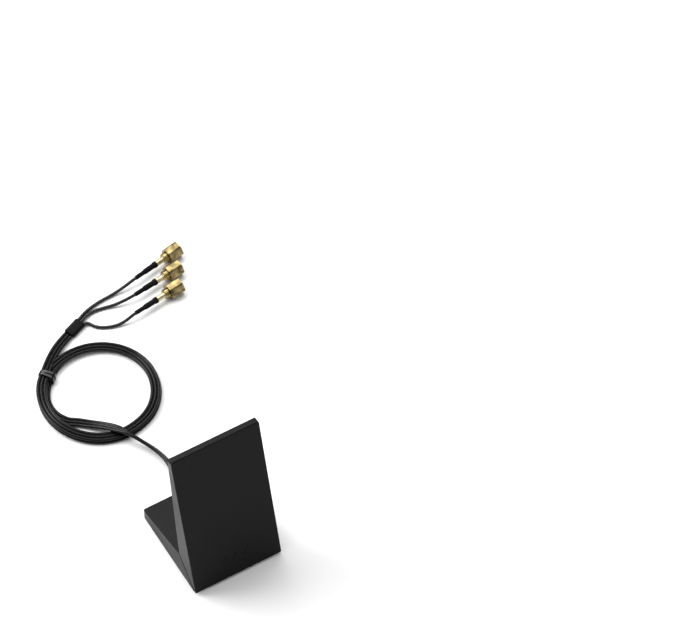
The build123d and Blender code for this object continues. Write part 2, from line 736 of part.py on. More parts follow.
for place in range(3):
    heading = radians(plug_headings[place])
    plug = Plane(
        origin=(*plug_mouths[place], plug_height),
        x_dir=(0, 0, 1),
        z_dir=(cos(heading), sin(heading), 0),
    )
    number = place + 1
    tail_route = [
        tail_starts[place],
        *tail_middles[place],
        plug.from_local_coords((0, 0, boot_rear)),
        plug.from_local_coords((0, 0, tail_end)),
    ]
    save(round_tube(f"tail_{number}", tail_route, coax_radius), f"tail_{number}")

    save(
        revolved(
            plug,
            [
                (boot_bore, inner_boot_rear),
                (inner_boot_radius - 0.1, inner_boot_rear),
                (inner_boot_radius, inner_boot_rear + 0.6),
                (inner_boot_radius, inner_boot_front),
                (boot_bore, inner_boot_front),
            ],
        ),
        f"boot_inner_{number}",
    )
    save(
        revolved(
            plug,
            [
                (inner_boot_radius, outer_boot_rear),
                (outer_boot_radii[0] - 0.1, outer_boot_rear),
                (outer_boot_radii[0], outer_boot_rear + 0.5),
                (outer_boot_radii[0], ferrule_rear - 0.6),
                (outer_boot_radii[1], ferrule_rear + 0.2),
                (outer_boot_radii[1], outer_boot_front),
                (ferrule_radius, outer_boot_front),
                (ferrule_radius, ferrule_rear),
                (inner_boot_radius, ferrule_rear),
            ],
        ),
        f"boot_outer_{number}",
    )
    save(
        revolved(
            plug,
            [
                (boot_bore, ferrule_rear),
                (ferrule_radius, ferrule_rear),
                (ferrule_radius, collar_span[0]),
                (boot_bore, collar_span[0]),
            ],
        ),
        f"ferrule_{number}",
    )
    save(
        revolved(
            plug,
            [
                (boot_bore, collar_span[0]),
                (collar_radius - 0.3, collar_span[0]),
                (collar_radius, collar_span[0] + 0.3),
                (collar_radius, collar_span[1]),
                (body_radius, collar_span[1]),
                (body_radius, flange_span[0]),
                (flange_radius, flange_span[0]),
                (flange_radius, flange_span[1]),
                (body_radius, flange_span[1]),
                (body_radius, body_face),
                (insulator_radius, body_face),
                (insulator_radius, collar_span[1]),
                (boot_bore, collar_span[1]),
            ],
        ),
        f"plug_body_{number}",
    )
    save(
        revolved(
            plug,
            [
                (contact_radius, collar_span[1]),
                (insulator_radius, collar_span[1]),
                (insulator_radius, insulator_face),
                (contact_radius, insulator_face),
            ],
        ),
        f"plug_insulator_{number}",
    )
    with BuildPart() as contact:
        with BuildSketch(plug.offset(collar_span[1])):
            Circle(contact_radius)
        extrude(amount=body_face - collar_span[1] - 0.3)
        with BuildSketch(plug.offset(body_face - 0.3)):
            Circle(contact_bore)
        extrude(amount=-3.0, mode=Mode.SUBTRACT)
    save(contact.part, f"plug_contact_{number}")

    with BuildPart() as nut:
        with BuildSketch(plug.offset(-nut_length)):
            RegularPolygon(nut_flat, 6, major_radius=False, rotation=30)
        extrude(amount=nut_length)
        with BuildSketch(plug.offset(-nut_length)):
            Circle(nut_flat + 0.35)
        extrude(amount=nut_length, mode=Mode.INTERSECT)
        with BuildSketch(plug.offset(-nut_length)):
            Circle(body_radius + body_gap)
        extrude(amount=nut_length, mode=Mode.SUBTRACT)
        with BuildSketch(plug.offset(relief_end)):
            Circle(relief_radius)
        extrude(amount=-relief_end - thread_depth, mode=Mode.SUBTRACT)
        with BuildSketch(plug.offset(-thread_depth)):
            Circle(thread_radius)
        extrude(amount=thread_depth, mode=Mode.SUBTRACT)
    save(nut.part, f"plug_nut_{number}")
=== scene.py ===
"""Looks of a desktop wi-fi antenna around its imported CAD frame: a tilting panel on a wedge base, with a
flat lead that lies in a tied coil and splits into tails with screw-on coax plugs."""
from math import atan2, cos, pi, radians, sin, sqrt

import bpy
from mathutils import Matrix, Vector


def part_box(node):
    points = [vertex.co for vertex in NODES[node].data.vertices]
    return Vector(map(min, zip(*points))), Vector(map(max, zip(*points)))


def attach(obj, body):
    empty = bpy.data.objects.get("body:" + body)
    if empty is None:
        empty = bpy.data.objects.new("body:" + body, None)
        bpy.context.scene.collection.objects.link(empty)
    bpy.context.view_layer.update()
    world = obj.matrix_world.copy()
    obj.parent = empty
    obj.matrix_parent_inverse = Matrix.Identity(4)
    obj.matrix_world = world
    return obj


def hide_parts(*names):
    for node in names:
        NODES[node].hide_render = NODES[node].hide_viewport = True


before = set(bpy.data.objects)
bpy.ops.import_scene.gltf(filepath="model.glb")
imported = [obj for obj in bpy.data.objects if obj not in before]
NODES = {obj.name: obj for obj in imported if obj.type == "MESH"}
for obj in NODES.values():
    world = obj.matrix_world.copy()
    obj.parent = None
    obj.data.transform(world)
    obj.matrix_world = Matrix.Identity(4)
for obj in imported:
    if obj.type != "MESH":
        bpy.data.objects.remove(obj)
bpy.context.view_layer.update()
MM = 0.001

# ---------------------------------------------------------------- camera
CAMERA_AZIMUTH = radians(-30.5)
CAMERA_ELEVATION = radians(54.4)
CAMERA_DISTANCE = 2355 * MM
CAMERA_LENS = 239.2
SENSOR_WIDTH = 36
CLIP_NEAR, CLIP_FAR = 0.1, 20
BASE_FRONT_Y = -25.75 * MM
LOOK_ACROSS = 57 * MM
LOOK_UP = 131 * MM


def make_camera():
    """A camera high in front and to the left of the base, looking down at it, the coil and the plugs."""
    level = cos(CAMERA_ELEVATION)
    back = Vector((sin(CAMERA_AZIMUTH) * level, -cos(CAMERA_AZIMUTH) * level, sin(CAMERA_ELEVATION)))
    right = Vector((cos(CAMERA_AZIMUTH), sin(CAMERA_AZIMUTH), 0))
    up = back.cross(right)
    camera = bpy.data.objects.new("camera", bpy.data.cameras.new("camera"))
    camera.data.lens = CAMERA_LENS
    camera.data.sensor_width = SENSOR_WIDTH
    camera.data.clip_start, camera.data.clip_end = CLIP_NEAR, CLIP_FAR
    aim = Vector((0, BASE_FRONT_Y, 0)) + right * LOOK_ACROSS + up * LOOK_UP
    camera.location = aim + back * CAMERA_DISTANCE
    camera.rotation_mode = "QUATERNION"
    camera.rotation_quaternion = (-back).to_track_quat("-Z", "Y")
    bpy.context.scene.collection.objects.link(camera)
    bpy.context.scene.camera = camera


make_camera()

# ---------------------------------------------------------------- cord routes, in millimetres
GROMMET_INNER_Y = 24.6
LEAD_Z = 3.9
LEAD_ROUTE = [
    (0.0, GROMMET_INNER_Y, LEAD_Z), (0.0, 33.5, LEAD_Z), (0.9, 41.6, 3.3), (1.6, 49.8, 3.1),
    (-0.1, 57.6, 3.1), (-3.0, 63.9, 3.8), (-6.3, 69.0, 5.4), (-8.4, 72.5, 6.0),
]
COIL_CENTRE = (-8.0, 104.8)
# The inner run after the lead has crossed the coil.
INNER_RUN = [
    (-10.3, 76.4, 5.7), (-13.5, 81.1, 4.8), (-17.6, 86.3, 3.2), (-22.3, 91.0, 2.0), (-27.1, 95.6, 1.25),
]
# Stations of the wound turns: bearing travelled clockwise from the crossing, radius and height.
COIL_STATIONS = [
    (74, 23.6, 1.0), (92, 26.6, 0.95), (112, 28.2, 1.05), (130, 28.2, 1.3), (140, 28.2, 1.42),
    (150, 28.6, 1.3), (170, 29.9, 0.95), (180, 30.3, 0.92), (270, 29.9, 0.92), (315, 29.6, 0.92),
    (345, 28.7, 0.92), (385, 28.6, 1.1), (420, 29.0, 2.3), (450, 29.5, 2.95), (480, 29.7, 3.1),
    (500, 29.4, 3.35), (515, 29.1, 3.1), (540, 29.0, 2.9), (630, 29.4, 2.9), (675, 29.1, 2.9),
    (705, 28.3, 2.9), (745, 28.3, 3.1), (780, 28.9, 4.3), (810, 29.5, 4.95), (840, 30.0, 4.95),
    (857, 30.7, 4.75),
]
TURN_STEP = 18.0
CONTROL_INSET = cos(radians(TURN_STEP / 2))
SLEEVE_HEADING = radians(22.5)
SLEEVE_START = (-3.3, 146.3, 1.6)
END_ROUTE = [(-24.6, 131.2, 4.1), (-20.6, 135.3, 3.2), (-15.3, 139.9, 2.3), (-9.5, 143.6, 1.7), SLEEVE_START]
SLEEVE_LENGTH = 9.2
COAX_RADIUS = 0.9
COAX_PITCH = 1.8

PLUG_Z = 4.0
PLUG_MOUTHS = [(72.3, 164.3), (67.0, 153.5), (61.6, 142.9)]
PLUG_HEADINGS = [radians(11.0), radians(8.0), radians(8.0)]
TAIL_MIDDLES = [
    [(9.0, 153.9, 1.3), (14.6, 155.9, 1.0), (21.0, 157.0, 1.0), (27.8, 157.3, 1.0), (34.8, 157.6, 2.3)],
    [(9.4, 152.1, 1.3), (14.9, 153.1, 1.0), (20.4, 152.2, 1.0), (25.6, 150.7, 1.5), (30.8, 149.6, 2.9)],
    [(8.7, 147.7, 1.3), (10.2, 144.3, 1.0), (13.3, 141.6, 1.0), (17.5, 139.6, 1.0), (22.2, 138.4, 1.2),
     (26.6, 138.1, 2.5)],
]
BOOT_REAR, TAIL_END = -31.0, -24.5
# Each tail starts this far inside the sleeve's mouth, and runs straight to this place along the sleeve,
# counted from the mouth.
TAIL_INSIDE = 2.0
TAIL_STRAIGHTS = [1.5, 1.5, -0.5]


def between(stations, at):
    """Radius and height of the wound cord at a bearing."""
    for (a, *low), (b, *high) in zip(stations, stations[1:]):
        if at <= b:
            share = (at - a) / (b - a)
            smooth = share * share * (3 - 2 * share)
            return [l + (h - l) * smooth for l, h in zip(low, high)]
    return stations[-1][1:]


def coil_points():
    """Control points of the wound turns, a little outside the line that they make."""
    points = []
    bearing = COIL_STATIONS[0][0]
    while bearing <= COIL_STATIONS[-1][0]:
        radius, height = between(COIL_STATIONS, bearing)
        angle = radians(-90 - bearing)
        reach = radius / CONTROL_INSET
        points.append((COIL_CENTRE[0] + reach * cos(angle), COIL_CENTRE[1] + reach * sin(angle), height))
        bearing += TURN_STEP
    return points


def spline_points(name, route, resolution):
    """Points along one open NURBS spline through a route given in millimetres."""
    curve = bpy.data.curves.new(name + "_line", "CURVE")
    curve.dimensions = "3D"
    spline = curve.splines.new("NURBS")
    spline.points.add(len(route) - 1)
    for point, place in zip(spline.points, route):
        point.co = (*[v * MM for v in place], 1.0)
    spline.order_u = 3
    spline.use_endpoint_u = True
    spline.resolution_u = resolution
    line = bpy.data.objects.new(name + "_line", curve)
    bpy.context.scene.collection.objects.link(line)
    bpy.context.view_layer.update()
    evaluated = line.evaluated_get(bpy.context.evaluated_depsgraph_get())
    mesh = bpy.data.meshes.new_from_object(evaluated)
    points = [v.co.copy() for v in mesh.vertices]
    bpy.data.objects.remove(line)
    bpy.data.curves.remove(curve)
    bpy.data.meshes.remove(mesh)
    return [p for n, p in enumerate(points) if n == 0 or (p - points[n - 1]).length > 1e-6]


def running_length(points):
    """Distance run along a line at each of its points."""
    total, runs = 0.0, [0.0]
    for a, b in zip(points, points[1:]):
        total += (b - a).length
        runs.append(total)
    return runs


def new_piece(name, vertices, faces, material):
    """A smooth piece with one finish, from its corners and faces."""
    mesh = bpy.data.meshes.new(name)
    mesh.from_pydata(vertices, [], faces)
    mesh.update()
    mesh.materials.append(material)
    for polygon in mesh.polygons:
        polygon.use_smooth = True
    piece = bpy.data.objects.new(name, mesh)
    bpy.context.scene.collection.objects.link(piece)
    return piece


QUAD = 4  # corners of a skin's side faces; its two end caps have more
RUN_SCALE = 100  # UV units for each metre of run


def tube_frames(points):
    """Level side and rising direction at each point of a line."""
    frames = []
    for n in range(len(points)):
        heading = (points[min(n + 1, len(points) - 1)] - points[max(n - 1, 0)]).normalized()
        side = Vector((heading.y, -heading.x, 0)).normalized()
        frames.append((side, side.cross(heading)))
    return frames


def sweep_along(name, points, outline, material, roll=None):
    """Closed skin of an outline, in metres as (side, rise), carried along a line, with a UV map."""
    runs = running_length(points)
    vertices, faces = [], []
    count = len(outline)
    for n, (point, (side, rise)) in enumerate(zip(points, tube_frames(points))):
        lean = roll(runs[n]) if roll else 0.0
        across = side * cos(lean) + rise * sin(lean)
        above = rise * cos(lean) - side * sin(lean)
        vertices += [point + across * u + above * v for u, v in outline]
    for n in range(len(points) - 1):
        for k in range(count):
            a, b = n * count + k, n * count + (k + 1) % count
            faces.append((a, a + count, b + count, b))
    faces.append(tuple(range(count)))
    faces.append(tuple(reversed(range((len(points) - 1) * count, len(points) * count))))
    piece = new_piece(name, vertices, faces, material)
    map_along(piece, runs, count)
    return piece


def map_along(piece, runs, count):
    """UV map of a swept skin: its run along the line, and its share of a turn round it."""
    layer = piece.data.uv_layers.new(name="along")
    loops = piece.data.loops
    for polygon in piece.data.polygons:
        places = [loops[loop].vertex_index % count for loop in polygon.loop_indices]
        closes = len(places) == QUAD and count - 1 in places
        for loop in polygon.loop_indices:
            ring, place = divmod(loops[loop].vertex_index, count)
            turn = 1.0 if closes and place == 0 else place / count
            layer.data[loop].uv = (runs[ring] * RUN_SCALE, turn)


def level_direction(angle):
    """Level unit vector at an angle from the X axis."""
    return Vector((cos(angle), sin(angle), 0))


def circle_outline(radius, count):
    """Outline of one round coax."""
    return [(radius * cos(2 * pi * n / count), radius * sin(2 * pi * n / count)) for n in range(count)]


def bonded_outline(radius, pitch, web, end_steps, middle_steps):
    """Outline of three round coaxes side by side, bonded by thin webs."""
    notch = atan2(web, sqrt(radius * radius - web * web))
    arcs = [
        (pitch, -pi + notch, pi - notch, end_steps),
        (0.0, notch, pi - notch, middle_steps),
        (-pitch, notch, 2 * pi - notch, end_steps),
        (0.0, pi + notch, 2 * pi - notch, middle_steps),
    ]
    outline = []
    for centre, start, stop, steps in arcs:
        for n in range(steps + 1):
            angle = start + (stop - start) * n / steps
            outline.append(((centre + radius * cos(angle)) * MM, radius * sin(angle) * MM))
    return outline


# ---------------------------------------------------------------- finishes
def start_finish(name, colour, roughness, metallic=0.0):
    """A new material: its tree, its shader and object coordinates."""
    made = bpy.data.materials.new(name)
    made.use_nodes = True
    tree = made.node_tree
    tree.nodes.clear()
    output = tree.nodes.new("ShaderNodeOutputMaterial")
    shader = tree.nodes.new("ShaderNodeBsdfPrincipled")
    tree.links.new(shader.outputs["BSDF"], output.inputs["Surface"])
    shader.inputs["Base Color"].default_value = (*colour, 1)
    shader.inputs["Roughness"].default_value = roughness
    shader.inputs["Metallic"].default_value = metallic
    place = tree.nodes.new("ShaderNodeTexCoord")
    return made, tree, shader, place


def noise(tree, vector, scale, detail=3.0, stretch=None):
    """Noise value over a vector, stretched along some axes where asked."""
    if stretch:
        mapping = tree.nodes.new("ShaderNodeMapping")
        mapping.inputs["Scale"].default_value = stretch
        tree.links.new(vector, mapping.inputs["Vector"])
        vector = mapping.outputs["Vector"]
    node = tree.nodes.new("ShaderNodeTexNoise")
    node.inputs["Scale"].default_value = scale
    node.inputs["Detail"].default_value = detail
    tree.links.new(vector, node.inputs["Vector"])
    return node.outputs["Fac"]


def spread(tree, value, low, high, start=0.3, stop=0.7):
    """Maps a noise value onto a range."""
    node = tree.nodes.new("ShaderNodeMapRange")
    node.inputs["From Min"].default_value = start
    node.inputs["From Max"].default_value = stop
    node.inputs["To Min"].default_value = low
    node.inputs["To Max"].default_value = high
    tree.links.new(value, node.inputs["Value"])
    return node.outputs["Result"]


def blend_colours(tree, value, low, high):
    """Colour between two, by a noise value."""
    node = tree.nodes.new("ShaderNodeValToRGB")
    node.color_ramp.elements[0].position = 0.3
    node.color_ramp.elements[1].position = 0.7
    node.color_ramp.elements[0].color = (*low, 1)
    node.color_ramp.elements[1].color = (*high, 1)
    tree.links.new(value, node.inputs["Fac"])
    return node.outputs["Color"]


def bump(tree, shader, height, strength, depth, under=None):
    """Bump on a shader, on top of another bump where one is given."""
    node = tree.nodes.new("ShaderNodeBump")
    node.inputs["Strength"].default_value = strength
    node.inputs["Distance"].default_value = depth * MM
    tree.links.new(height, node.inputs["Height"])
    if under:
        tree.links.new(under, node.inputs["Normal"])
    tree.links.new(node.outputs["Normal"], shader.inputs["Normal"])
    return node.outputs["Normal"]


def moulded_plastic(name, dark, light, roughness, grain=2600, specular=0.09, depth=0.03):
    """Spark-eroded moulding: a fine even grain, with broad faint changes in shade and sheen."""
    made, tree, shader, place = start_finish(name, dark, roughness[0])
    where = place.outputs["Object"]
    shader.inputs["Specular IOR Level"].default_value = specular
    fine = noise(tree, where, grain, 2.0)
    broad = noise(tree, where, 55, 4.0)
    tree.links.new(blend_colours(tree, fine, dark, light), shader.inputs["Base Color"])
    tree.links.new(spread(tree, broad, *roughness), shader.inputs["Roughness"])
    flat = bump(tree, shader, broad, 0.08, 0.05)
    bump(tree, shader, fine, 0.5, depth, flat)
    return made


def jacket(name, dark, light, roughness, specular):
    """Extruded cord jacket: streaks run along it, from its own UV map."""
    made, tree, shader, _ = start_finish(name, dark, roughness[0])
    along = tree.nodes.new("ShaderNodeUVMap")
    along.uv_map = "along"
    streaks = noise(tree, along.outputs["UV"], 1.0, 3.0, (0.6, 46, 1))
    patches = noise(tree, along.outputs["UV"], 1.0, 3.0, (1.6, 6, 1))
    tree.links.new(blend_colours(tree, streaks, dark, light), shader.inputs["Base Color"])
    tree.links.new(spread(tree, patches, *roughness), shader.inputs["Roughness"])
    shader.inputs["Specular IOR Level"].default_value = specular
    bump(tree, shader, streaks, 0.12, 0.04)
    return made


def matt_shrink(name, dark, light):
    """Heat-shrink tube: dull, with slight wrinkles and a dusty bloom."""
    made, tree, shader, place = start_finish(name, dark, 0.62)
    where = place.outputs["Object"]
    wrinkles = noise(tree, where, 420, 3.0)
    bloom = noise(tree, where, 1500, 2.0)
    tree.links.new(blend_colours(tree, bloom, dark, light), shader.inputs["Base Color"])
    tree.links.new(spread(tree, wrinkles, 0.4, 0.6), shader.inputs["Roughness"])
    shader.inputs["Specular IOR Level"].default_value = 0.06
    bump(tree, shader, wrinkles, 0.35, 0.12)
    return made


def plated_metal(name, dark, light, roughness, turned=None, depth=0.01):
    """Plated metal, with fine tool marks and cloudy changes in shine."""
    made, tree, shader, place = start_finish(name, light, roughness[0], 1.0)
    where = place.outputs["Object"]
    marks = noise(tree, where, 2200, 2.0, turned)
    clouds = noise(tree, where, 300, 3.0)
    tree.links.new(blend_colours(tree, clouds, dark, light), shader.inputs["Base Color"])
    tree.links.new(spread(tree, clouds, *roughness), shader.inputs["Roughness"])
    bump(tree, shader, marks, 0.15, depth)
    return made


def soft_rubber(name, dark, light, roughness=0.7):
    """Rubber: a very fine grain and a soft, uneven sheen."""
    made, tree, shader, place = start_finish(name, dark, roughness)
    where = place.outputs["Object"]
    fine = noise(tree, where, 1800, 3.0)
    tree.links.new(blend_colours(tree, fine, dark, light), shader.inputs["Base Color"])
    sheen = noise(tree, where, 120, 2.0)
    tree.links.new(spread(tree, sheen, roughness - 0.08, roughness + 0.1), shader.inputs["Roughness"])
    bump(tree, shader, fine, 0.3, 0.04)
    return made


TIE_SHINE, TIE_SHINE_ROUGHNESS = 0.8, 0.12
# Painted shade: the front cover is a darker copy of the rear cover's black moulding, so its front face looks
# as dark as if it were in shade.
FRONT_BLACK_PAINTED_SHADE = moulded_plastic(
    "front_moulding_painted_shade", (0.0018, 0.0018, 0.0019), (0.005, 0.005, 0.0052), (0.28, 0.38))
REAR_BLACK = moulded_plastic(
    "rear_moulding", (0.003, 0.003, 0.0031), (0.0075, 0.0075, 0.0077), (0.38, 0.48))
BASE_BLACK = moulded_plastic("base_moulding", (0.006, 0.006, 0.0062), (0.013, 0.013, 0.0133), (0.36, 0.46))
PLATE_BLACK = moulded_plastic(
    "plate_moulding", (0.006, 0.006, 0.0062), (0.011, 0.011, 0.0115), (0.5, 0.65), 1400)
LEAD_BLACK = jacket("coax_jacket", (0.0018, 0.0018, 0.0019), (0.005, 0.0051, 0.0053), (0.14, 0.22), 0.17)
TAIL_BLACK = jacket("tail_jacket", (0.0016, 0.0017, 0.0018), (0.0045, 0.0047, 0.005), (0.14, 0.22), 0.4)
SHRINK_BLACK = matt_shrink("heat_shrink", (0.0025, 0.0025, 0.0026), (0.007, 0.007, 0.0072))
TIE_BLACK = matt_shrink("tie_film", (0.002, 0.002, 0.0021), (0.006, 0.006, 0.0062))
FOOT_RUBBER = soft_rubber("foot_rubber", (0.012, 0.012, 0.012), (0.026, 0.026, 0.026))
GROMMET_RUBBER = soft_rubber("grommet_rubber", (0.01, 0.01, 0.01), (0.02, 0.02, 0.02), 0.55)
GOLD = plated_metal("gold_plating", (0.1, 0.072, 0.03), (0.47, 0.37, 0.17), (0.12, 0.26))
PALE_GOLD = plated_metal("pale_gold_plating", (0.42, 0.37, 0.23), (0.78, 0.71, 0.5), (0.24, 0.42))
HINGE_STEEL = plated_metal(
    "hinge_plating", (0.42, 0.42, 0.43), (0.62, 0.62, 0.63), (0.26, 0.42), (1, 0.08, 0.08))
SCREW_STEEL = plated_metal("screw_plating", (0.36, 0.36, 0.37), (0.55, 0.55, 0.56), (0.24, 0.4))
WEIGHT_STEEL = plated_metal(
    "rolled_steel", (0.28, 0.28, 0.29), (0.45, 0.45, 0.46), (0.35, 0.55), (0.05, 1, 1))
COPPER = plated_metal("bare_copper", (0.62, 0.29, 0.14), (0.86, 0.47, 0.29), (0.2, 0.35))
TINNED = plated_metal("tinned_brass", (0.5, 0.49, 0.46), (0.72, 0.71, 0.67), (0.25, 0.42))
BOARD_GREEN = moulded_plastic("solder_mask", (0.012, 0.085, 0.03), (0.02, 0.12, 0.045), (0.28, 0.4), 900)
PTFE_WHITE = moulded_plastic("ptfe", (0.72, 0.71, 0.67), (0.82, 0.81, 0.78), (0.4, 0.5), 1500)

tie_shader = TIE_BLACK.node_tree.nodes["Principled BSDF"]
tie_shader.inputs["Coat Weight"].default_value = TIE_SHINE
tie_shader.inputs["Coat Roughness"].default_value = TIE_SHINE_ROUGHNESS

NODE_FINISHES = {
    "panel_front_cover": FRONT_BLACK_PAINTED_SHADE,
    "panel_rear_cover": REAR_BLACK,
    "base_top_cover": BASE_BLACK,
    "base_bottom_cover": PLATE_BLACK,
    "rubber_feet": FOOT_RUBBER,
    "cable_grommet": GROMMET_RUBBER,
    "base_weight": WEIGHT_STEEL,
    "antenna_board": BOARD_GREEN,
    "antenna_elements": COPPER,
    "feed_clips": TINNED,
    "base_leads": PLATE_BLACK,
    "panel_leads": PLATE_BLACK,
}
NAME_STARTS = [
    ("hinge_", HINGE_STEEL), ("base_hinge_leaf", HINGE_STEEL), ("panel_hinge_leaf", HINGE_STEEL),
    ("base_leaf_screws", SCREW_STEEL), ("panel_leaf_screws", SCREW_STEEL), ("base_screws", SCREW_STEEL),
    ("board_screws", SCREW_STEEL), ("boot_", SHRINK_BLACK), ("breakout_sleeve", SHRINK_BLACK),
    ("ferrule_", PALE_GOLD), ("plug_insulator", PTFE_WHITE), ("plug_", GOLD), ("tail_", TAIL_BLACK),
    ("ribbon_", LEAD_BLACK), ("cable_coil", LEAD_BLACK), ("cable_tie", TIE_BLACK),
]


def finish_of(node_name):
    """A CAD node's finish: its own entry, or the one for how its name starts."""
    if node_name in NODE_FINISHES:
        return NODE_FINISHES[node_name]
    return next(finish for start, finish in NAME_STARTS if node_name.startswith(start))


for node_name, node in NODES.items():
    node.data.materials.clear()
    node.data.materials.append(finish_of(node_name))

# ---------------------------------------------------------------- the flat lead
BOND_WEB = 0.2
OUTER_ARC_STEPS, MIDDLE_ARC_STEPS = 12, 8
LEAD_RESOLUTION = 8
# Lean of the lead about its own line, in degrees, by distance from the grommet: it leans towards its edge
# from behind the base until it nears the crossing, and lies flat after it.
LEAD_LEANS = [
    (0, 0), (8, 0), (15, -58), (49, -58), (59, -16), (62, -14), (71, -12), (79, -1), (95, 0), (400, 0),
]


def lead_lean(run):
    """Lean of the lead, in radians, at a distance along it in metres."""
    run = run / MM
    for (a, low), (b, high) in zip(LEAD_LEANS, LEAD_LEANS[1:]):
        if run <= b:
            share = (run - a) / (b - a)
            return radians(low + (high - low) * share * share * (3 - 2 * share))
    return 0.0


lead_points = spline_points("flat_lead", LEAD_ROUTE + INNER_RUN + coil_points() + END_ROUTE, LEAD_RESOLUTION)
lead_outline = bonded_outline(COAX_RADIUS, COAX_PITCH, BOND_WEB, OUTER_ARC_STEPS, MIDDLE_ARC_STEPS)
flat_lead = sweep_along("flat_lead", lead_points, lead_outline, LEAD_BLACK, lead_lean)

# ---------------------------------------------------------------- breakout sleeve, over the end of the lead
SLEEVE_STEPS = 40
SLEEVE_HALF_HIGH = 1.56
SLEEVE_SHOULDER, SLEEVE_ROUND = 1.75, 1.5
SLEEVE_FLATTENING = 3
# Rings of the skin: place along the sleeve and size. It turns in at the mouth, where the tails come out.
SLEEVE_RINGS = [
    (-0.2, 0.9), (0.0, 0.97), (0.35, 1.0), (2.0, 1.0), (4.2, 0.985), (6.6, 1.0), (8.7, 1.02), (9.1, 1.01),
    (9.2, 0.95), (9.1, 0.88), (8.2, 0.86),
]
sleeve_start = Vector(SLEEVE_START)
sleeve_along = level_direction(SLEEVE_HEADING)
sleeve_across = Vector((sin(SLEEVE_HEADING), -cos(SLEEVE_HEADING), 0))


def sleeve_skin():
    """The sleeve: flattened rings joined one to the next, closed by its first and last rings."""
    vertices, faces = [], []
    for station, size in SLEEVE_RINGS:
        for n in range(SLEEVE_STEPS):
            angle = 2 * pi * n / SLEEVE_STEPS
            shoulder = max(-1, min(1, SLEEVE_FLATTENING * cos(angle))) * SLEEVE_SHOULDER
            reach = shoulder + SLEEVE_ROUND * cos(angle)
            rise = Vector((0, 0, SLEEVE_HALF_HIGH * sin(angle)))
            point = sleeve_start + sleeve_along * station + (sleeve_across * reach + rise) * size
            vertices.append(point * MM)
    for ring in range(len(SLEEVE_RINGS) - 1):
        for k in range(SLEEVE_STEPS):
            a, b = ring * SLEEVE_STEPS + k, ring * SLEEVE_STEPS + (k + 1) % SLEEVE_STEPS
            faces.append((a, a + SLEEVE_STEPS, b + SLEEVE_STEPS, b))
    faces.append(tuple(range(SLEEVE_STEPS)))
    faces.append(tuple(reversed(range(len(vertices) - SLEEVE_STEPS, len(vertices)))))
    return new_piece("breakout_sleeve_skin", vertices, faces, SHRINK_BLACK)


sleeve = sleeve_skin()
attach(sleeve, "base")
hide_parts("breakout_sleeve")

# ---------------------------------------------------------------- tie: two separate turns of flat film
TIE_BEARING = radians(130)
TIE_MIDDLE = 29.2
TIE_HALF_ACROSS, TIE_HALF_HIGH = 4.0, 2.75
TIE_LIFT = 0.25
TIE_STRAP = 1.5
TIE_THICKNESS = 0.4
TIE_STEPS = 48
TIE_SQUARENESS = 4
FLOOR_GAP = 0.02
# Section of the strap, in half widths across it and half thicknesses off the bundle.
TIE_SECTION = [(-1, -1), (-1, 1), (-0.6, 1.35), (0.6, 1.35), (1, 1), (1, -1)]
# The turns: name, shift along the cord, lean, and growth over the bundle.
TIE_TURNS = [("tie_turn_a", -0.95, 0.35, 0.25), ("tie_turn_b", 0.95, -0.45, 0.3)]


def tie_turn(name, shift, lean, grow):
    """One turn of the tie round the bundle: a flat strap, closed on itself."""
    radial = level_direction(TIE_BEARING)
    along = Vector((-sin(TIE_BEARING), cos(TIE_BEARING), 0))
    centre = Vector((*COIL_CENTRE, 0)) + radial * TIE_MIDDLE + along * shift
    vertices, faces = [], []
    for n in range(TIE_STEPS):
        angle = 2 * pi * n / TIE_STEPS
        reach, rise = cos(angle), sin(angle)
        corner = (abs(reach) ** TIE_SQUARENESS + abs(rise) ** TIE_SQUARENESS) ** (-1 / TIE_SQUARENESS)
        outward = (radial * reach * TIE_HALF_HIGH + Vector((0, 0, rise * TIE_HALF_ACROSS))).normalized()
        middle = centre + radial * reach * corner * (TIE_HALF_ACROSS + grow) + along * (lean * reach)
        middle.z = TIE_HALF_HIGH + TIE_LIFT + rise * corner * (TIE_HALF_HIGH + grow)
        for across, off in TIE_SECTION:
            point = middle + along * (across * TIE_STRAP / 2) + outward * (off * TIE_THICKNESS / 2)
            vertices.append(Vector((point.x, point.y, max(point.z, FLOOR_GAP))) * MM)
    count = len(TIE_SECTION)
    for n in range(TIE_STEPS):
        here, there = n * count, (n + 1) % TIE_STEPS * count
        for k in range(count):
            beside = (k + 1) % count
            faces.append((here + k, here + beside, there + beside, there + k))
    return new_piece(name, vertices, faces, TIE_BLACK)


tie_turns = [tie_turn(*turn) for turn in TIE_TURNS]
for turn in tie_turns:
    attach(turn, "base")
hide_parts("cable_tie")

# ---------------------------------------------------------------- threads and ribs, made by node trees
THREAD_PITCH = 0.706
THREAD_RADIUS = 2.89
THREAD_RIDGE = 0.13
THREAD_TURNS = 4.0
THREAD_SETBACK = 0.25


def node_tree(name, inputs):
    """An empty geometry node tree with named inputs and one geometry output."""
    tree = bpy.data.node_groups.new(name, "GeometryNodeTree")
    for label, kind in inputs:
        tree.interface.new_socket(label, in_out="INPUT", socket_type=kind)
    tree.interface.new_socket("Geometry", in_out="OUTPUT", socket_type="NodeSocketGeometry")
    return tree, tree.nodes.new("NodeGroupInput").outputs, tree.nodes.new("NodeGroupOutput").inputs


def finish_tree(tree, given, wanted, geometry):
    """Ends a tree: real geometry, smooth, with the given material."""
    real = tree.nodes.new("GeometryNodeRealizeInstances")
    smooth = tree.nodes.new("GeometryNodeSetShadeSmooth")
    coat = tree.nodes.new("GeometryNodeSetMaterial")
    tree.links.new(geometry, real.inputs["Geometry"])
    tree.links.new(real.outputs["Geometry"], smooth.inputs["Geometry"])
    tree.links.new(smooth.outputs["Geometry"], coat.inputs["Geometry"])
    tree.links.new(given["Finish"], coat.inputs["Material"])
    tree.links.new(coat.outputs["Geometry"], wanted["Geometry"])


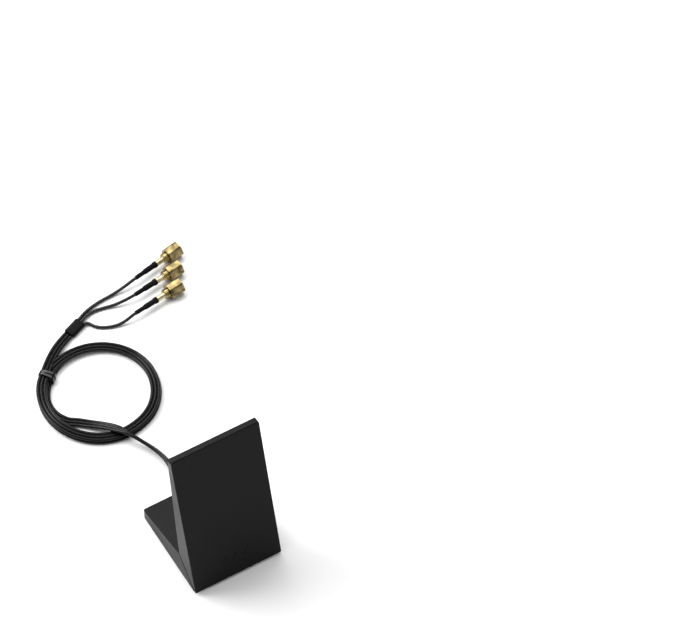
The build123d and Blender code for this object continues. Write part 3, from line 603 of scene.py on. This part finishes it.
def thread_tree():
    """A thread: one ridge wound round the Z axis."""
    tree, given, wanted = node_tree("wound_thread", [
        ("Turns", "NodeSocketFloat"), ("Radius", "NodeSocketFloat"), ("Length", "NodeSocketFloat"),
        ("Ridge", "NodeSocketFloat"), ("Finish", "NodeSocketMaterial")])
    winding = tree.nodes.new("GeometryNodeCurveSpiral")
    winding.inputs["Resolution"].default_value = 40
    section = tree.nodes.new("GeometryNodeCurvePrimitiveCircle")
    section.inputs["Resolution"].default_value = 6
    ridge = tree.nodes.new("GeometryNodeCurveToMesh")
    ridge.inputs["Fill Caps"].default_value = True
    tree.links.new(given["Turns"], winding.inputs["Rotations"])
    tree.links.new(given["Radius"], winding.inputs["Start Radius"])
    tree.links.new(given["Radius"], winding.inputs["End Radius"])
    tree.links.new(given["Length"], winding.inputs["Height"])
    tree.links.new(given["Ridge"], section.inputs["Radius"])
    tree.links.new(winding.outputs["Curve"], ridge.inputs["Curve"])
    tree.links.new(section.outputs["Curve"], ridge.inputs["Profile Curve"])
    finish_tree(tree, given, wanted, ridge.outputs["Mesh"])
    return tree


def rib_tree():
    """Rounded ribs in a row along the Z axis, each smaller than the one before."""
    tree, given, wanted = node_tree("row_of_ribs", [
        ("Count", "NodeSocketInt"), ("Step", "NodeSocketVector"), ("Width", "NodeSocketFloat"),
        ("Height", "NodeSocketFloat"), ("Corner", "NodeSocketFloat"), ("Thickness", "NodeSocketFloat"),
        ("Shrink", "NodeSocketVector"), ("Finish", "NodeSocketMaterial")])
    loop = tree.nodes.new("GeometryNodeCurvePrimitiveQuadrilateral")
    rounding = tree.nodes.new("GeometryNodeFilletCurve")
    rounding.mode = "POLY"
    rounding.inputs["Count"].default_value = 10
    section = tree.nodes.new("GeometryNodeCurvePrimitiveCircle")
    section.inputs["Resolution"].default_value = 10
    rib = tree.nodes.new("GeometryNodeCurveToMesh")
    row = tree.nodes.new("GeometryNodeMeshLine")
    place = tree.nodes.new("GeometryNodeInstanceOnPoints")
    index = tree.nodes.new("GeometryNodeInputIndex")
    shrink = tree.nodes.new("ShaderNodeVectorMath")
    shrink.operation = "MULTIPLY"
    size = tree.nodes.new("ShaderNodeVectorMath")
    size.operation = "SUBTRACT"
    size.inputs[0].default_value = (1, 1, 1)
    tree.links.new(given["Width"], loop.inputs["Width"])
    tree.links.new(given["Height"], loop.inputs["Height"])
    tree.links.new(loop.outputs["Curve"], rounding.inputs["Curve"])
    tree.links.new(given["Corner"], rounding.inputs["Radius"])
    tree.links.new(rounding.outputs["Curve"], rib.inputs["Curve"])
    tree.links.new(given["Thickness"], section.inputs["Radius"])
    tree.links.new(section.outputs["Curve"], rib.inputs["Profile Curve"])
    tree.links.new(given["Count"], row.inputs["Count"])
    tree.links.new(given["Step"], row.inputs["Offset"])
    tree.links.new(row.outputs["Mesh"], place.inputs["Points"])
    tree.links.new(rib.outputs["Mesh"], place.inputs["Instance"])
    tree.links.new(index.outputs["Index"], shrink.inputs[0])
    tree.links.new(given["Shrink"], shrink.inputs[1])
    tree.links.new(shrink.outputs["Vector"], size.inputs[1])
    tree.links.new(size.outputs["Vector"], place.inputs["Scale"])
    finish_tree(tree, given, wanted, place.outputs["Instances"])
    return tree


def grown(name, tree, values, place, towards):
    """A plain mesh piece grown by a node tree, turned so that its Z axis points towards a direction."""
    source = bpy.data.objects.new(name + "_source", bpy.data.meshes.new(name + "_source"))
    bpy.context.scene.collection.objects.link(source)
    modifier = source.modifiers.new("growth", "NODES")
    modifier.node_group = tree
    for socket in tree.interface.items_tree:
        if socket.in_out == "INPUT":
            modifier[socket.identifier] = values[socket.name]
    bpy.context.view_layer.update()
    evaluated = source.evaluated_get(bpy.context.evaluated_depsgraph_get())
    mesh = bpy.data.meshes.new_from_object(evaluated)
    mesh.transform(Matrix.Translation(place) @ Vector(towards).to_track_quat("Z", "Y").to_matrix().to_4x4())
    bpy.data.objects.remove(source)
    mesh.name = name
    piece = bpy.data.objects.new(name, mesh)
    bpy.context.scene.collection.objects.link(piece)
    return piece


THREAD = thread_tree()
RIBS = rib_tree()
PLUGS = [
    (Vector((*mouth, PLUG_Z)), level_direction(angle)) for mouth, angle in zip(PLUG_MOUTHS, PLUG_HEADINGS)
]
on_plugs = [[] for _ in PLUGS]
for place, (mouth, heading) in enumerate(PLUGS):
    length = THREAD_TURNS * THREAD_PITCH
    foot = mouth - heading * (THREAD_SETBACK + length)
    thread_values = {
        "Turns": THREAD_TURNS,
        "Radius": THREAD_RADIUS * MM,
        "Length": length * MM,
        "Ridge": THREAD_RIDGE * MM,
        "Finish": GOLD,
    }
    thread = grown(f"nut_thread_{place + 1}", THREAD, thread_values, foot * MM, heading)
    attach(thread, f"nut_{place + 1}")
    on_plugs[place].append(thread)

# Crimp ribs on each ferrule and rings on the collar in front of it: name, slot, finish, radius, place of the
# rearmost one along the plug from its mouth, step, count and thickness.
RING_ROWS = [
    ("ferrule_ribs", "pale_gold", PALE_GOLD, 1.5, -15.1, 0.72, 6, 0.16),
    ("collar_rings", "gold", GOLD, 2.75, -10.25, 0.75, 3, 0.18),
]
for place, (mouth, heading) in enumerate(PLUGS):
    for label, slot_name, finish, radius, first, step, count, thickness in RING_ROWS:
        ring_values = {
            "Count": count,
            "Step": (0, 0, step * MM),
            "Width": 2 * radius * MM,
            "Height": 2 * radius * MM,
            "Corner": radius * MM,
            "Thickness": thickness * MM,
            "Shrink": (0, 0, 0),
            "Finish": finish,
        }
        rings = grown(f"{label}_{place + 1}", RIBS, ring_values, (mouth + heading * first) * MM, heading)
        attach(rings, "base")
        on_plugs[place].append(rings)

GROMMET_HIGH = Vector(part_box("cable_grommet")[1])
RIB_COUNT = 4
RIB_STEP = 1.05
RIB_FIRST = 3.9
RIB_WIDTH, RIB_HEIGHT = 7.15, 3.5
RIB_THICKNESS = 0.28
RIB_SHRINK = (0.024, 0.045, 0)
rib_values = {
    "Count": RIB_COUNT,
    "Step": (0, 0, RIB_STEP * MM),
    "Width": RIB_WIDTH * MM,
    "Height": RIB_HEIGHT * MM,
    "Corner": RIB_HEIGHT / 2 * MM,
    "Thickness": RIB_THICKNESS * MM,
    "Shrink": RIB_SHRINK,
    "Finish": GROMMET_RUBBER,
}
first_rib = Vector((0, GROMMET_HIGH.y - RIB_FIRST * MM, LEAD_Z * MM))
grommet_ribs = grown("grommet_ribs", RIBS, rib_values, first_rib, (0, 1, 0))
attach(grommet_ribs, "base")

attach(flat_lead, "base")
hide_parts("ribbon_lead", "cable_coil", "ribbon_end")

# ---------------------------------------------------------------- tails
sleeve_end = sleeve_start + sleeve_along * SLEEVE_LENGTH
TAIL_RESOLUTION = 10
TAIL_SIDES = 20
for place, (middles, (mouth, heading)) in enumerate(zip(TAIL_MIDDLES, PLUGS)):
    number = place + 1
    start = sleeve_end + sleeve_across * COAX_PITCH * (place - 1)
    route = [
        tuple(start - sleeve_along * TAIL_INSIDE),
        tuple(start + sleeve_along * TAIL_STRAIGHTS[place]),
        *middles,
        tuple(mouth + heading * BOOT_REAR),
        tuple(mouth + heading * TAIL_END),
    ]
    tail_points = spline_points(f"tail_{number}", route, TAIL_RESOLUTION)
    tail_outline = circle_outline(COAX_RADIUS * MM, TAIL_SIDES)
    tail = sweep_along(f"tail_{number}_coax", tail_points, tail_outline, TAIL_BLACK)
    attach(tail, "base")
    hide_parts(f"tail_{number}")

# ---------------------------------------------------------------- floor and light
floor_material = bpy.data.materials.new("pale_floor")
floor_material.use_nodes = True
floor_shader = floor_material.node_tree.nodes["Principled BSDF"]
floor_shader.inputs["Base Color"].default_value = (0.92, 0.92, 0.92, 1)
floor_shader.inputs["Roughness"].default_value = 0.9
FLOOR_HALF = 3.0
floor_corners = [(-FLOOR_HALF, -FLOOR_HALF, 0), (FLOOR_HALF, -FLOOR_HALF, 0), (FLOOR_HALF, FLOOR_HALF, 0),
                 (-FLOOR_HALF, FLOOR_HALF, 0)]
floor = new_piece("studio_floor", floor_corners, [(0, 1, 2, 3)], floor_material)


def softbox(name, place, target, size, power):
    """A rectangular lamp at a place, in metres, facing a target."""
    light = bpy.data.lights.new(name, "AREA")
    light.shape = "RECTANGLE"
    light.size, light.size_y = size
    light.energy = power
    lamp = bpy.data.objects.new(name, light)
    lamp.location = place
    lamp.rotation_mode = "QUATERNION"
    lamp.rotation_quaternion = (Vector(place) - Vector(target)).to_track_quat("Z", "Y")
    bpy.context.scene.collection.objects.link(lamp)


softbox("overhead", (0.2, 0.6, 1.3), (0.05, 0.1, 0), (1.5, 1.5), 18)
softbox("left_back", (-0.42, 0.42, 0.5), (-0.05, 0.06, 0), (0.4, 0.4), 5)
softbox("strip", (0.0, 0.75, 0.62), (0.0, 0.12, 0), (0.7, 0.03), 1.6)

WORLD_STRENGTH = 0.42
world = bpy.data.worlds.new("studio")
world.use_nodes = True
world.node_tree.nodes["Background"].inputs["Color"].default_value = (1, 1, 1, 1)
world.node_tree.nodes["Background"].inputs["Strength"].default_value = WORLD_STRENGTH
bpy.context.scene.world = world
bpy.context.scene.view_settings.view_transform = "Standard"
